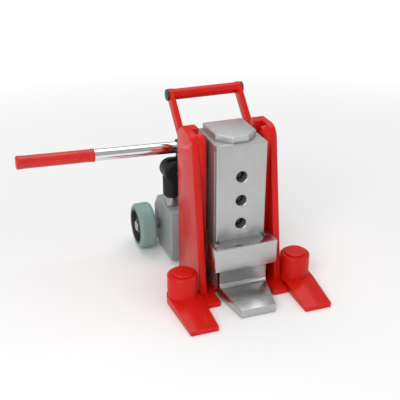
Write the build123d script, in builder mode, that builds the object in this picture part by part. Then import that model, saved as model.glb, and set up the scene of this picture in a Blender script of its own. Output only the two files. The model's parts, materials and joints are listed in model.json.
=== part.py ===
"""Hydraulic toe jack with a height-adjustable claw, swing-out feet and a swivelling hand pump.

Millimetres, +Z up. The origin is on the floor under the lifting ram, the toe points along -Y
and +X is to the right of someone who stands in front of the toe.
"""
import os
from math import cos, radians, sin, tan

from build123d import *

os.makedirs("parts", exist_ok=True)

# ---- clearances ----
running_fit = 0.05      # radial, shaft in hole
slide_gap = 0.4         # flat faces that slide past each other
seat_gap = 0.6          # between the plunger and the rocker's nose
screw_head_gap = 0.2    # radial, screw head in its counterbore
spring_gap = 0.5        # between a spring's ends and their seats
edge_break = 1.5        # chamfer on plate edges and machined ends
fine_break = 0.8        # chamfer on small turned and moulded edges

# ---- hydraulics ----
barrel_radius = 36.0
barrel_bore = barrel_radius - 9
rod_radius = barrel_bore - 10
barrel_floor = 27.0
gland_high = 18.0
gland_inside = 12.0
piston_high = 18.0
seal_high = 4.0
seal_groove = 3.0
port_z = 42.0
port_lead = 2.0         # the port is drilled this far into the bore
pipe_radius = 5.0
pipe_bore = 2.5
nut_flats = 19.0
nut_long = 12.0
nut_stand = 4.0         # from the casing's rear face to the nut on the cylinder's side
spring_wire = 2.5
spring_turns = 9

# ---- lifting casing ----
casing_half = 50.0
casing_front = -55.0
casing_rear = 52.0
casing_bottom = 12.0
casing_top = 310.0
casing_roof = 20.0      # thickness of the casing's closed top
casing_corner = 2.0
barrel_space = barrel_radius + 2
barrel_top = casing_top - 48
tee_flange = 5.0        # flange in front of each side groove
tee_width = 8.0
tee_depth = 7.0
tee_top = casing_top - 10
hole_radius = 11.0
hole_chamfer = 1.2
hole_first = 99.5
hole_last = casing_top - 65.3
hole_count = 4
hole_pitch = (hole_last - hole_first) / (hole_count - 1)
pipe_slot_half = 13.0
pipe_slot_top = 62.0

# ---- head plate ----
head_half = casing_half - 9
head_front = casing_front + 7.5
head_rear = casing_rear - 4
head_thick = 12.0
head_corner = 26.0
head_corner_round = 3.0

# ---- guide keys ----
key_low = 20.0
key_high = 115.0
key_rows = (40.0, 95.0)
key_corner = 3.0
key_screw_radius = 3.0
key_head_radius = 5.5
key_head_deep = 6.0
key_head_sink = 1.0     # how far the heads sit below the key's face
key_hex_radius = 2.5
stop_high = 12.0        # blocks in the side grooves below the claw's ribs

# ---- claw ----
claw_cheek = 14.0       # thickness of the cheeks either side of the casing
bar_half = casing_half + claw_cheek
bar_front = casing_front - 32
claw_bar_low = 67.0
claw_bar_high = 116.0
body_half = casing_half - 1.5
body_front = casing_front - 17
toe_tip = body_front - 79
toe_half = body_half - 13.5
toe_root_high = 24.0
toe_tip_high = 17.0
toe_fold_radius = 9.0
relief_radius = 4.8
bolt_radius = hole_radius - 1
bolt_length = 24.0
bolt_rest = 1.6         # how far the bolt sits inside the claw's rear face
bolt_end_room = 1.0     # behind the bolt in its bore

# ---- base ----
base_thick = 9.0
base_front = -99.0      # front edge of the two rails
base_rear = 150.0       # rear edge of the bridge under the tank
rail_inner = casing_half + 4    # half width of the cut-out for the claw
bridge_front = casing_front + 5
rail_corner = 7.0

# ---- columns ----
side_thick = 14.0
column_gap = 8.0        # between the claw's bar and the side plates
column_outer = bar_half + column_gap + side_thick
column_top = casing_top + head_thick
column_rear = 66.0
lean_angle = 9.0        # front edge leans back going up
column_foot_y = -66.0   # front edge of a side plate where it meets the rail
top_round = 26.0
rear_chamfer = 22.0
guide_depth = 14.0      # guide strips, inward from the side plate
guide_front = -21.0
groove_front = -3.0
groove_rear = 20.5
guide_rear = 44.0

# ---- carry handle ----
arm_thick = 9.5
arm_inner = column_outer - 18.5
arm_root_low = column_top - 65  # where the arms meet the rear of the columns
arm_root_high = column_top - 33
arm_end_radius = 12.0
arm_break = 1.0
bar_y = column_rear + 80
bar_z = column_top + 29
bar_radius = 11.0
bar_wall = 2.5
bar_cap_thick = 5.5
bar_cap_lip = 0.5
bar_cap_break = 1.2

# ---- tank ----
tank_half = column_outer + 9
tank_front = 85.0
tank_top_rear = 180.0
tank_rear = 205.0
tank_shoulder = 90.0
tank_top = 120.0
tank_corner = 8.0
tank_foot_edge = 2.0
tank_cavity_left = 48 - tank_half
tank_cavity_right = tank_half - 11
tank_cavity_front = tank_front + 12
tank_cavity_rear = tank_top_rear - 20
tank_cavity_floor = 20.0
cover_thick = 5.0
gasket_thick = 1.0
cover_margin = 9.0      # the cover laps this far over the tank's top
cover_corner = 5.0
cover_break = 0.6
cover_screw_radius = 2.0
cover_screw_head = 3.8
cover_screw_high = 3.0
cover_screw_bite = 8.0
cover_screw_inset = 4.5
cover_hex_radius = 1.8
filler_radius = 9.0
filler_inset = 31.0     # from the cover's right edge
filler_collar = 3.0
filler_hex_high = 6.0
tank_screw_radius = 4.0
tank_screw_head = 6.5
tank_head_high = 5.0
tank_screw_bite = 10.0
tank_hex_radius = 3.4
tank_hex_floor = 1.0
tank_screw_y = 130.0
tank_screws_at = [(side * (rail_inner - 12), tank_screw_y) for side in (-1, 1)]

# ---- pump ----
pump_x = 16 - tank_half
pump_y = tank_front + 40
pump_boss_radius = 14.5
pump_boss_top = tank_top + 21
pump_boss_foot = 40.0
spigot_radius = 11.0
spigot_top = pump_boss_top + 19
plunger_radius = 7.0
plunger_foot = 70.0
plunger_tip_high = 2.0
plunger_tip_in = 3.0
collar_low = spigot_top + 17
collar_thick = 3.0
collar_radius = spigot_radius - 0.4
plunger_wire = 1.1
plunger_turns = 4

# ---- release valve, on the rear face of the tank ----
valve_x = 20.0
valve_z = 78.0
valve_radius = 5.0
valve_deep = 14.0
valve_knob_radius = 15.0
valve_knob_thick = 14.0
valve_knob_gap = 5.0
valve_lobes = 6
valve_lobe_radius = 4.5
valve_lobe_out = 1.5
valve_tip_chamfer = 2.0

# ---- pump head, rocker and lever ----
head_stem_radius = 19.0
head_stem_chamfer = 4.0
head_bore_room = 4.0    # the bore reaches this far over the bottom of the rocker's hub
nose_offset = 12.0      # from the pivot to the plunger, square to both
pivot_x = pump_x + nose_offset
pivot_z = spigot_top + 38
pivot_radius = 5.0
cheek_radius = 21.0
cheek_round = 5.0
fork_slot = 16.0
fork_gap = 0.5          # between the rocker and each cheek
cheek_thick = 14.0
slot_floor = spigot_top + 12
slot_room = 2.5         # between the rocker's nose and the closed end of the slot
stem_overlap = 12.0
hub_radius = 11.0
nose_radius = 7.0
nose_drop = 6.0
lever_z = pivot_z + 48.5    # height of the lever's axis over the pivot
lever_pitch = 2.0
lever_radius = 12.0
lever_wall = 2.5
lever_inside = 31.0     # length of tube inside the socket
lever_reach = 322.0     # from above the pivot to the grip's end
grip_wall = 1.3
grip_radius = lever_radius + grip_wall
grip_long = 151.0
grip_end = 4.0
grip_end_round = 3.0
grip_mouth_round = 0.8
socket_wall = 4.5
socket_floor = 3.5
socket_lead = 1.0
web_inset = 2.0         # how far the rocker's web runs into its hub and socket
pin_clip_radius = 7.5
pin_clip_thick = 1.2

# ---- feet ----
foot_boss_radius = 29.5
foot_boss_top = 63.0
foot_pin_radius = 12.0
ear_radius = 20.0
ear_neck = 26.0
foot_swing = 90.0       # outward swing of each foot, degrees
blade_root_half = foot_boss_radius + 1.5
blade_tip_round = 3.0
foot_x = column_outer + blade_root_half + 2
foot_y = -56.0
blade_tip_y = foot_y - 116.5
blade_tip_inner = foot_x - 31
blade_tip_outer = foot_x + 23.5
blade_root_high = 17.0
blade_tip_high = 8.0
foot_cap_radius = 22.0
foot_cap_high = 4.0
foot_boss_chamfer = 3.0
neck_steps = 3

# ---- wheels ----
wheel_x = tank_half + 32
wheel_y = tank_rear - 23
wheel_radius = 48.5
wheel_lift = 3.5        # the wheels touch the floor once the jack is tipped back
wheel_z = wheel_radius + wheel_lift
wheel_wide = 36.0
rim_radius = wheel_radius - 10
rim_wall = 4.0
tyre_round = 7.0
web_thick = 8.0
hub_set_in = 4.0        # the hub's barrel ends this far inside the tyre's faces
hub_barrel_radius = 16.0
bush_radius = 11.0
axle_radius = 8.0
axle_cap_radius = 11.0
axle_cap_thick = 3.0
axle_end_chamfer = 1.0
spoke_count = 6
spoke_thick = 3.5
spoke_set_in = 3.0
spoke_root = 1.0        # overlap of a spoke with the rim and with the barrel


def finish(part, label):
    """Label a finished piece and write it to its own file."""
    part.label = label
    export_step(part, f"parts/{label}.step")


def side_name(side):
    return "left" if side < 0 else "right"


def front_edge(z):
    """Y of a side plate's leaning front edge at height z."""
    return column_foot_y + (z - base_thick) * tan(radians(lean_angle))


# ---- base and columns ----
with BuildSketch(Plane.YZ) as column_outline:
    with BuildLine():
        Polyline(
            (column_foot_y, base_thick),
            (front_edge(column_top), column_top),
            (column_rear - rear_chamfer, column_top),
            (column_rear, column_top - rear_chamfer),
            (column_rear, base_thick),
            close=True,
        )
    make_face()
    top_front = vertices().group_by(Axis.Y)[-1].sort_by(Axis.X)[0]
    fillet(top_front, radius=top_round)

for side in (-1, 1):
    with BuildPart() as base_rail:
        with BuildSketch(Plane.XY):
            with BuildLine():
                Polyline(
                    (side * rail_inner, base_front),
                    (side * column_outer, base_front),
                    (side * column_outer, column_rear),
                    (side * rail_inner, column_rear),
                    close=True,
                )
            make_face()
            with Locations((side * foot_x, foot_y)):
                Circle(ear_radius)
            with Locations((side * (column_outer + foot_x) / 2, foot_y)):
                Rectangle(foot_x - column_outer, ear_neck)
        extrude(amount=base_thick)
        corners = base_rail.edges().filter_by(Axis.Z).group_by(Axis.Y)[0]
        fillet(corners.sort_by(Axis.X)[0 if side > 0 else -1], radius=rail_corner)
        chamfer(base_rail.faces().sort_by(Axis.Z)[-1].edges().group_by(Axis.Y)[0], length=edge_break)
        with Locations((side * foot_x, foot_y, base_thick)):
            Hole(foot_pin_radius, depth=base_thick)
    finish(base_rail.part, f"base_rail_{side_name(side)}")

    with BuildPart() as side_plate:
        with BuildSketch(Plane.YZ.offset(side * column_outer)):
            add(column_outline.sketch_local)
        extrude(amount=-side * side_thick)
        outer_face = side_plate.faces().sort_by(Axis.X)[-1 if side > 0 else 0]
        chamfer(outer_face.edges().filter_by(lambda e: e.center().Z > base_thick + 1), length=edge_break)
    finish(side_plate.part, f"side_plate_{side_name(side)}")

    # two strips per column, cut off flush with the column at the top
    strip_inner = column_outer - side_thick - guide_depth
    open_bands = ((column_foot_y, guide_front), (groove_front, groove_rear), (guide_rear, column_rear))
    with BuildPart() as guide_strips:
        with BuildSketch(Plane.YZ.offset(side * strip_inner)):
            add(column_outline.sketch_local)
            for cut_from, cut_to in open_bands:
                with Locations(((cut_from + cut_to) / 2, column_top / 2)):
                    Rectangle(cut_to - cut_from, column_top, mode=Mode.SUBTRACT)
        extrude(amount=side * guide_depth)
    finish(guide_strips.part, f"guide_strips_{side_name(side)}")

with BuildPart() as base_bridge:
    with BuildSketch(Plane.XY):
        with Locations((0, (bridge_front + base_rear) / 2)):
            Rectangle(2 * rail_inner, base_rear - bridge_front)
    extrude(amount=base_thick)
    chamfer(base_bridge.faces().sort_by(Axis.Z)[-1].edges().group_by(Axis.Y)[-1], length=edge_break)
    with BuildSketch(Plane.XY):
        with Locations(*tank_screws_at):
            Circle(tank_screw_radius)
    extrude(amount=base_thick, mode=Mode.SUBTRACT)
    with BuildSketch(Plane.XY):
        with Locations(*tank_screws_at):
            Circle(tank_screw_head)
    extrude(amount=tank_head_high, mode=Mode.SUBTRACT)
finish(base_bridge.part, "base_bridge")

# ---- carry handle ----
arm_outer = arm_inner + arm_thick
for side in (-1, 1):
    with BuildPart() as handle_arm:
        with BuildSketch(Plane.YZ.offset(side * arm_inner)):
            with BuildLine():
                Line((column_rear, arm_root_low), (column_rear, arm_root_high))
                CenterArc((bar_y, bar_z), arm_end_radius, 0, 360)
            make_hull()
        extrude(amount=side * arm_thick)
        outer_face = handle_arm.faces().sort_by(Axis.X)[-1 if side > 0 else 0]
        chamfer(outer_face.edges().filter_by(lambda e: e.center().Y > column_rear + 1), length=arm_break)
    finish(handle_arm.part, f"handle_arm_{side_name(side)}")

with BuildPart() as carry_bar:
    with BuildSketch(Plane.YZ.offset(-arm_inner)):
        with Locations((bar_y, bar_z)):
            Circle(bar_radius)
            Circle(bar_radius - bar_wall, mode=Mode.SUBTRACT)
    extrude(amount=2 * arm_inner)
finish(carry_bar.part, "carry_bar")

with BuildPart() as bar_caps:
    for side in (-1, 1):
        with BuildSketch(Plane.YZ.offset(side * arm_outer)):
            with Locations((bar_y, bar_z)):
                Circle(bar_radius + bar_cap_lip)
        extrude(amount=side * bar_cap_thick)
        rims = bar_caps.edges().filter_by(GeomType.CIRCLE).sort_by(Axis.X)
        chamfer(rims[-1 if side > 0 else 0], length=bar_cap_break)
finish(bar_caps.part, "bar_caps")

# ---- hydraulic cylinder ----
with BuildPart() as barrel:
    with BuildSketch(Plane.XZ):
        with BuildLine():
            Polyline(
                (0, base_thick),
                (barrel_radius, base_thick),
                (barrel_radius, barrel_top),
                (barrel_bore, barrel_top),
                (barrel_bore, barrel_floor),
                (0, barrel_floor),
                close=True,
            )
        make_face()
    revolve(axis=Axis.Z)
    with BuildSketch(Plane.XZ.offset(-barrel_radius)):
        with Locations((0, port_z)):
            Circle(pipe_bore)
    extrude(amount=barrel_radius - barrel_bore + port_lead, mode=Mode.SUBTRACT)
finish(barrel.part, "barrel")

gland_low = barrel_top - gland_inside
with BuildPart() as gland_nut:
    with BuildSketch(Plane.XZ):
        with BuildLine():
            Polyline(
                (rod_radius + running_fit, gland_low),
                (barrel_bore, gland_low),
                (barrel_bore, barrel_top),
                (barrel_radius, barrel_top),
                (barrel_radius, gland_low + gland_high),
                (rod_radius + running_fit, gland_low + gland_high),
                close=True,
            )
        make_face()
        wiper_high = gland_low + gland_high - seal_high
        with Locations((rod_radius + running_fit + seal_groove / 2, wiper_high + seal_high / 2)):
            Rectangle(seal_groove, seal_high, mode=Mode.SUBTRACT)
    revolve(axis=Axis.Z)
finish(gland_nut.part, "gland_nut")

with BuildPart() as wiper_ring:
    with BuildSketch(Plane.XZ):
        wiper_wide = seal_groove - running_fit
        with Locations((rod_radius + 2 * running_fit + wiper_wide / 2, wiper_high + seal_high / 2)):
            Rectangle(wiper_wide, seal_high)
    revolve(axis=Axis.Z)
finish(wiper_ring.part, "wiper_ring")

# ---- ram ----
piston_top = barrel_floor + piston_high
with BuildPart() as ram:
    with BuildSketch(Plane.XZ):
        with BuildLine():
            Polyline(
                (0, piston_top),
                (rod_radius, piston_top),
                (rod_radius, casing_top),
                (0, casing_top),
                close=True,
            )
        make_face()
    revolve(axis=Axis.Z)
finish(ram.part, "ram")

piston_low = barrel_floor + slide_gap
seal_low = (barrel_floor + piston_top - seal_high) / 2
with BuildPart() as piston:
    with BuildSketch(Plane.XZ):
        with BuildLine():
            Polyline(
                (0, piston_low),
                (barrel_bore - running_fit, piston_low),
                (barrel_bore - running_fit, piston_top),
                (0, piston_top),
                close=True,
            )
        make_face()
        with Locations((barrel_bore - running_fit - seal_groove / 2, seal_low + seal_high / 2)):
            Rectangle(seal_groove, seal_high, mode=Mode.SUBTRACT)
    revolve(axis=Axis.Z)
finish(piston.part, "piston")

with BuildPart() as piston_seal:
    with BuildSketch(Plane.XZ):
        with Locations((barrel_bore - running_fit - seal_groove / 2, seal_low + seal_high / 2)):
            Rectangle(seal_groove, seal_high)
    revolve(axis=Axis.Z)
finish(piston_seal.part, "piston_seal")

# the return spring pushes the ram back down when there is no load
spring_low = piston_top + 2 * spring_gap
spring_high = gland_low - 2 * spring_gap
spring_radius = (rod_radius + barrel_bore) / 2
with BuildPart() as return_spring:
    coil_high = spring_high - spring_low - 2 * spring_wire
    with BuildLine():
        Helix(
            pitch=coil_high / spring_turns,
            height=coil_high,
            radius=spring_radius,
            center=(0, 0, spring_low + spring_wire),
        )
    with BuildSketch(Plane(origin=(spring_radius, 0, spring_low + spring_wire), z_dir=(0, 1, 0))):
        Circle(spring_wire)
    sweep(is_frenet=True)
finish(return_spring.part, "return_spring")

# ---- lifting casing ----
hole_heights = [hole_first + hole_pitch * i for i in range(hole_count)]

with BuildPart() as casing:
    with BuildSketch(Plane.XY.offset(casing_bottom)):
        with BuildLine():
            Polyline(
                (-casing_half, casing_front),
                (casing_half, casing_front),
                (casing_half, casing_rear),
                (-casing_half, casing_rear),
                close=True,
            )
        make_face()
        chamfer(vertices(), length=casing_corner)
    extrude(amount=casing_top - casing_bottom)
    with BuildSketch(Plane.XY.offset(casing_bottom)):
        Circle(barrel_space)
    extrude(amount=casing_top - casing_roof - casing_bottom, mode=Mode.SUBTRACT)
    with BuildSketch(Plane.XY.offset(casing_top)):
        Circle(rod_radius)
    extrude(amount=-casing_roof, mode=Mode.SUBTRACT)
    # side grooves that the claw's ribs run in
    with BuildSketch(Plane.XY.offset(casing_bottom)):
        tee_y = casing_front + tee_flange + tee_width / 2
        for side in (-1, 1):
            with Locations((side * (casing_half - tee_depth / 2), tee_y)):
                Rectangle(tee_depth, tee_width)
    extrude(amount=tee_top - casing_bottom, mode=Mode.SUBTRACT)
    # index holes in the front wall
    with BuildSketch(Plane.XZ.offset(-casing_front)):
        for height in hole_heights:
            with Locations((0, height)):
                Circle(hole_radius)
    extrude(amount=casing_front, mode=Mode.SUBTRACT)
    rims = casing.edges().filter_by(GeomType.CIRCLE).group_by(Axis.Y)[0]
    chamfer(rims, length=hole_chamfer)
    # slot in the rear wall that clears the pressure pipe
    with BuildSketch(Plane.XY.offset(casing_bottom)):
        with Locations((0, casing_rear / 2)):
            Rectangle(2 * pipe_slot_half, casing_rear)
    extrude(amount=pipe_slot_top - casing_bottom, mode=Mode.SUBTRACT)
    chamfer(casing.faces().sort_by(Axis.Z)[-1].outer_wire().edges(), length=edge_break)
finish(casing.part, "casing")

with BuildPart() as head_plate:
    with BuildSketch(Plane.XY.offset(casing_top)):
        with BuildLine():
            Polyline(
                (-head_half, head_rear),
                (head_half, head_rear),
                (head_half, head_front + head_corner),
                (head_half - head_corner, head_front),
                (head_corner - head_half, head_front),
                (-head_half, head_front + head_corner),
                close=True,
            )
        make_face()
        fillet(vertices(), radius=head_corner_round)
    extrude(amount=head_thick)
    chamfer(head_plate.faces().sort_by(Axis.Z)[-1].edges(), length=edge_break)
finish(head_plate.part, "head_plate")

# guide keys on the sides of the casing run in the grooves of the columns
key_outer = column_outer - side_thick - slide_gap
key_y = (groove_front + groove_rear) / 2
for side in (-1, 1):
    with BuildPart() as guide_key:
        with BuildSketch(Plane.YZ.offset(side * casing_half)):
            with Locations((key_y, (key_low + key_high) / 2)):
                RectangleRounded(groove_rear - groove_front - 2 * slide_gap, key_high - key_low, key_corner)
        extrude(amount=side * (key_outer - casing_half))
        for row in key_rows:
            with BuildSketch(Plane.YZ.offset(side * key_outer)):
                with Locations((key_y, row)):
                    Circle(key_head_radius)
            extrude(amount=-side * key_head_deep, mode=Mode.SUBTRACT)
            with BuildSketch(Plane.YZ.offset(side * casing_half)):
                with Locations((key_y, row)):
                    Circle(key_screw_radius)
            extrude(amount=side * (key_outer - casing_half), mode=Mode.SUBTRACT)
    finish(guide_key.part, f"guide_key_{side_name(side)}")

with BuildPart() as key_screws:
    head_at = key_outer - key_head_deep
    for side in (-1, 1):
        for row in key_rows:
            with BuildSketch(Plane.YZ.offset(side * head_at)):
                with Locations((key_y, row)):
                    Circle(key_head_radius - screw_head_gap)
                    RegularPolygon(key_hex_radius, 6, mode=Mode.SUBTRACT)
            extrude(amount=side * (key_head_deep - key_head_sink))
            with BuildSketch(Plane.YZ.offset(side * head_at)):
                with Locations((key_y, row)):
                    Circle(key_screw_radius)
            extrude(amount=side * (casing_half - head_at))
finish(key_screws.part, "key_screws")

# stops below the claw's ribs
stop_top = claw_bar_low - slide_gap
with BuildPart() as groove_stops:
    with BuildSketch(Plane.XY.offset(stop_top)):
        for side in (-1, 1):
            with Locations((side * (casing_half - tee_depth / 2), tee_y)):
                Rectangle(tee_depth, tee_width)
    extrude(amount=-stop_high)
finish(groove_stops.part, "groove_stops")

# ---- claw ----
claw_back = casing_front - slide_gap
rib_rear = casing_front + tee_flange + tee_width - slide_gap
rib_front = casing_front + tee_flange + slide_gap
cheek_inner = casing_half + slide_gap
bolt_z = hole_first
with BuildPart() as claw:
    with BuildSketch(Plane.XY.offset(claw_bar_low)):
        with BuildLine():
            Polyline(
                (-bar_half, bar_front),
                (bar_half, bar_front),
                (bar_half, rib_rear),
                (cheek_inner - tee_depth, rib_rear),
                (cheek_inner - tee_depth, rib_front),
                (cheek_inner, rib_front),
                (cheek_inner, claw_back),
                (-cheek_inner, claw_back),
                (-cheek_inner, rib_front),
                (tee_depth - cheek_inner, rib_front),
                (tee_depth - cheek_inner, rib_rear),
                (-bar_half, rib_rear),
                close=True,
            )
        make_face()
        with Locations(
            (cheek_inner - relief_radius / 2, claw_back - relief_radius / 2),
            (relief_radius / 2 - cheek_inner, claw_back - relief_radius / 2),
        ):
            Circle(relief_radius, mode=Mode.SUBTRACT)
    extrude(amount=claw_bar_high - claw_bar_low)
    with BuildSketch(Plane.XY):
        with Locations((0, (body_front + claw_back) / 2)):
            Rectangle(2 * body_half, claw_back - body_front)
    extrude(amount=claw_bar_low)
    # the toe tapers in plan and in side view
    with BuildSketch(Plane.YZ):
        with BuildLine():
            Polyline(
                (claw_back, 0),
                (toe_tip, 0),
                (toe_tip, toe_tip_high),
                (body_front, toe_root_high),
                (claw_back, toe_root_high),
                close=True,
            )
        make_face()
    extrude(amount=body_half, both=True)
    fold = claw.edges().filter_by(Axis.X).filter_by(
        lambda e: abs(e.center().Y - body_front) < 0.1 and abs(e.center().Z - toe_root_high) < 0.1
    )
    fillet(fold, radius=toe_fold_radius)
    for side in (-1, 1):
        with BuildSketch(Plane.XY):
            with BuildLine():
                Polyline(
                    (side * body_half, body_front),
                    (side * toe_half, toe_tip),
                    (side * toe_half, toe_tip - 5),
                    (side * (body_half + 5), toe_tip - 5),
                    (side * (body_half + 5), body_front),
                    close=True,
                )
            make_face()
        extrude(amount=claw_bar_low, mode=Mode.SUBTRACT)
    with BuildSketch(Plane.XZ.offset(-claw_back)):
        with Locations((0, bolt_z)):
            Circle(bolt_radius + running_fit)
    extrude(amount=bolt_length + bolt_rest + bolt_end_room, mode=Mode.SUBTRACT)
    bar_face = claw.faces().filter_by(Axis.Y).filter_by(lambda f: abs(f.center().Y - bar_front) < 0.1)
    chamfer(bar_face.edges(), length=edge_break)
finish(claw.part, "claw")

with BuildPart() as claw_bolt:
    with BuildSketch(Plane.XZ.offset(-(claw_back - bolt_rest))):
        with Locations((0, bolt_z)):
            Circle(bolt_radius)
    extrude(amount=bolt_length)
    chamfer(claw_bolt.edges().filter_by(GeomType.CIRCLE).sort_by(Axis.Y)[-1], length=edge_break)
finish(claw_bolt.part, "claw_bolt")

# ---- tank with pump ----
pump_axis = (pump_x, pump_y)
head_bore_top = pivot_z - hub_radius + head_bore_room
cover_left = tank_cavity_left - cover_margin
cover_right = tank_cavity_right + cover_margin
cover_front = tank_cavity_front - cover_margin
cover_rear = tank_cavity_rear + cover_margin
cover_x = (cover_left + cover_right) / 2
cover_y = (cover_front + cover_rear) / 2
cover_wide = cover_right - cover_left
cover_deep = cover_rear - cover_front
filler_x = cover_right - filler_inset
cover_screws_at = [
    (x, y)
    for x in (cover_left + cover_screw_inset, cover_x, cover_right - cover_screw_inset)
    for y in (cover_front + cover_screw_inset, cover_rear - cover_screw_inset)
]

with BuildPart() as tank:
    with BuildSketch(Plane.YZ.offset(-tank_half)):
        with BuildLine():
            Polyline(
                (tank_front, base_thick),
                (tank_rear, base_thick),
                (tank_rear, tank_shoulder),
                (tank_top_rear, tank_top),
                (tank_front, tank_top),
                close=True,
            )
        make_face()
        fillet(vertices().sort_by(Axis.X)[2:], radius=tank_corner)
        chamfer(vertices().group_by(Axis.X)[0].sort_by(Axis.Y)[-1], length=tank_foot_edge)
    extrude(amount=2 * tank_half)
    chamfer(tank.faces().filter_by(Axis.X).edges(), length=edge_break)
    with BuildSketch(Plane.XY.offset(tank_top)):
        with Locations((cover_x, cover_y)):
            RectangleRounded(cover_wide - 2 * cover_margin, cover_deep - 2 * cover_margin, tank_corner)
    extrude(amount=-(tank_top - tank_cavity_floor), mode=Mode.SUBTRACT)
    with BuildSketch(Plane.XY.offset(tank_top)):
        with Locations(*cover_screws_at):
            Circle(cover_screw_radius)
    extrude(amount=-cover_screw_bite, mode=Mode.SUBTRACT)
    with BuildSketch(Plane.XY.offset(pump_boss_foot)):
        with Locations(pump_axis):
            Circle(pump_boss_radius)
    extrude(amount=tank_top - pump_boss_foot, mode=Mode.SUBTRACT)
    with BuildSketch(Plane.YZ.offset(-tank_half)):
        with Locations((wheel_y, wheel_z)):
            Circle(axle_radius)
    extrude(amount=2 * tank_half, mode=Mode.SUBTRACT)
    with BuildSketch(Plane.XY.offset(base_thick)):
        with Locations(*tank_screws_at):
            Circle(tank_screw_radius)
    extrude(amount=tank_screw_bite, mode=Mode.SUBTRACT)
    with BuildSketch(Plane.XZ.offset(-tank_rear)):
        with Locations((valve_x, valve_z)):
            Circle(valve_radius + running_fit)
    extrude(amount=valve_deep + slide_gap, mode=Mode.SUBTRACT)
finish(tank.part, "tank")

with BuildPart() as cover_gasket:
    with BuildSketch(Plane.XY.offset(tank_top)):
        with Locations((cover_x, cover_y)):
            RectangleRounded(cover_wide, cover_deep, cover_corner)
            Rectangle(cover_wide - 2 * cover_margin, cover_deep - 2 * cover_margin, mode=Mode.SUBTRACT)
        with Locations(*cover_screws_at):
            Circle(cover_screw_radius, mode=Mode.SUBTRACT)
    extrude(amount=gasket_thick)
finish(cover_gasket.part, "cover_gasket")

cover_low = tank_top + gasket_thick
with BuildPart() as tank_cover:
    with BuildSketch(Plane.XY.offset(cover_low)):
        with Locations((cover_x, cover_y)):
            RectangleRounded(cover_wide, cover_deep, cover_corner)
        with Locations(*cover_screws_at):
            Circle(cover_screw_radius, mode=Mode.SUBTRACT)
        with Locations((filler_x, cover_y)):
            Circle(filler_radius, mode=Mode.SUBTRACT)
    extrude(amount=cover_thick)
    chamfer(tank_cover.faces().sort_by(Axis.Z)[-1].outer_wire().edges(), length=cover_break)
finish(tank_cover.part, "tank_cover")

cover_high = cover_low + cover_thick
with BuildPart() as cover_screws:
    with BuildSketch(Plane.XY.offset(cover_high)):
        with Locations(*cover_screws_at):
            Circle(cover_screw_head)
            RegularPolygon(cover_hex_radius, 6, mode=Mode.SUBTRACT)
    extrude(amount=cover_screw_high)
    with BuildSketch(Plane.XY.offset(cover_high)):
        with Locations(*cover_screws_at):
            Circle(cover_screw_radius)
    extrude(amount=-(cover_thick + gasket_thick + cover_screw_bite))
finish(cover_screws.part, "cover_screws")

with BuildPart() as filler_plug:
    with BuildSketch(Plane.XY.offset(cover_low)):
        with Locations((filler_x, cover_y)):
            Circle(filler_radius)
    extrude(amount=cover_thick)
    with BuildSketch(Plane.XY.offset(cover_high)):
        with Locations((filler_x, cover_y)):
            Circle(filler_radius + filler_collar)
    extrude(amount=filler_collar)
    with BuildSketch(Plane.XY.offset(cover_high + filler_collar)):
        with Locations((filler_x, cover_y)):
            RegularPolygon(filler_radius, 6)
    extrude(amount=filler_hex_high)
    chamfer(filler_plug.faces().sort_by(Axis.Z)[-1].edges(), length=fine_break)
finish(filler_plug.part, "filler_plug")

with BuildPart() as pump_cylinder:
    with BuildSketch(Plane.XZ):
        with BuildLine():
            Polyline(
                (plunger_radius + running_fit, pump_boss_foot),
                (pump_boss_radius, pump_boss_foot),
                (pump_boss_radius, pump_boss_top),
                (spigot_radius, pump_boss_top),
                (spigot_radius, spigot_top),
                (plunger_radius + running_fit, spigot_top),
                close=True,
            )
        make_face()
        boss_rim = vertices().filter_by(
            lambda v: abs(v.X - pump_boss_radius) < 0.1 and abs(v.Y - pump_boss_top) < 0.1
        )
        chamfer(boss_rim, length=edge_break)
    revolve(axis=Axis.Z)
pump_cylinder.part.locate(Location((pump_x, pump_y, 0)))
finish(pump_cylinder.part, "pump_cylinder")

with BuildPart() as pressure_pipe:
    with BuildSketch(Plane.XZ.offset(-barrel_radius)):
        with Locations((0, port_z)):
            Circle(pipe_radius)
            Circle(pipe_bore, mode=Mode.SUBTRACT)
    extrude(amount=-(tank_front - barrel_radius))
finish(pressure_pipe.part, "pressure_pipe")

with BuildPart() as pipe_nuts:
    for nut_y in (casing_rear + nut_stand, tank_front - nut_long):
        with BuildSketch(Plane.XZ.offset(-nut_y)):
            with Locations((0, port_z)):
                RegularPolygon(nut_flats / 2, 6, major_radius=False)
                Circle(pipe_radius, mode=Mode.SUBTRACT)
        extrude(amount=-nut_long)
finish(pipe_nuts.part, "pipe_nuts")

with BuildPart() as tank_screws:
    with BuildSketch(Plane.XY.offset(tank_head_high)):
        with Locations(*tank_screws_at):
            Circle(tank_screw_radius)
    extrude(amount=base_thick - tank_head_high + tank_screw_bite)
    with BuildSketch(Plane.XY.offset(tank_head_high)):
        with Locations(*tank_screws_at):
            Circle(tank_screw_head)
            RegularPolygon(tank_hex_radius, 6, mode=Mode.SUBTRACT)
    extrude(amount=tank_hex_floor - tank_head_high)
finish(tank_screws.part, "tank_screws")

# ---- release valve ----
knob_y = tank_rear + valve_knob_gap
with BuildPart() as valve_spindle:
    with BuildSketch(Plane.XZ.offset(-(tank_rear - valve_deep))):
        with Locations((valve_x, valve_z)):
            Circle(valve_radius)
    extrude(amount=-(valve_deep + valve_knob_gap + valve_knob_thick / 2))
    chamfer(valve_spindle.edges().filter_by(GeomType.CIRCLE).sort_by(Axis.Y)[0], length=valve_tip_chamfer)
finish(valve_spindle.part, "valve_spindle")

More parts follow.
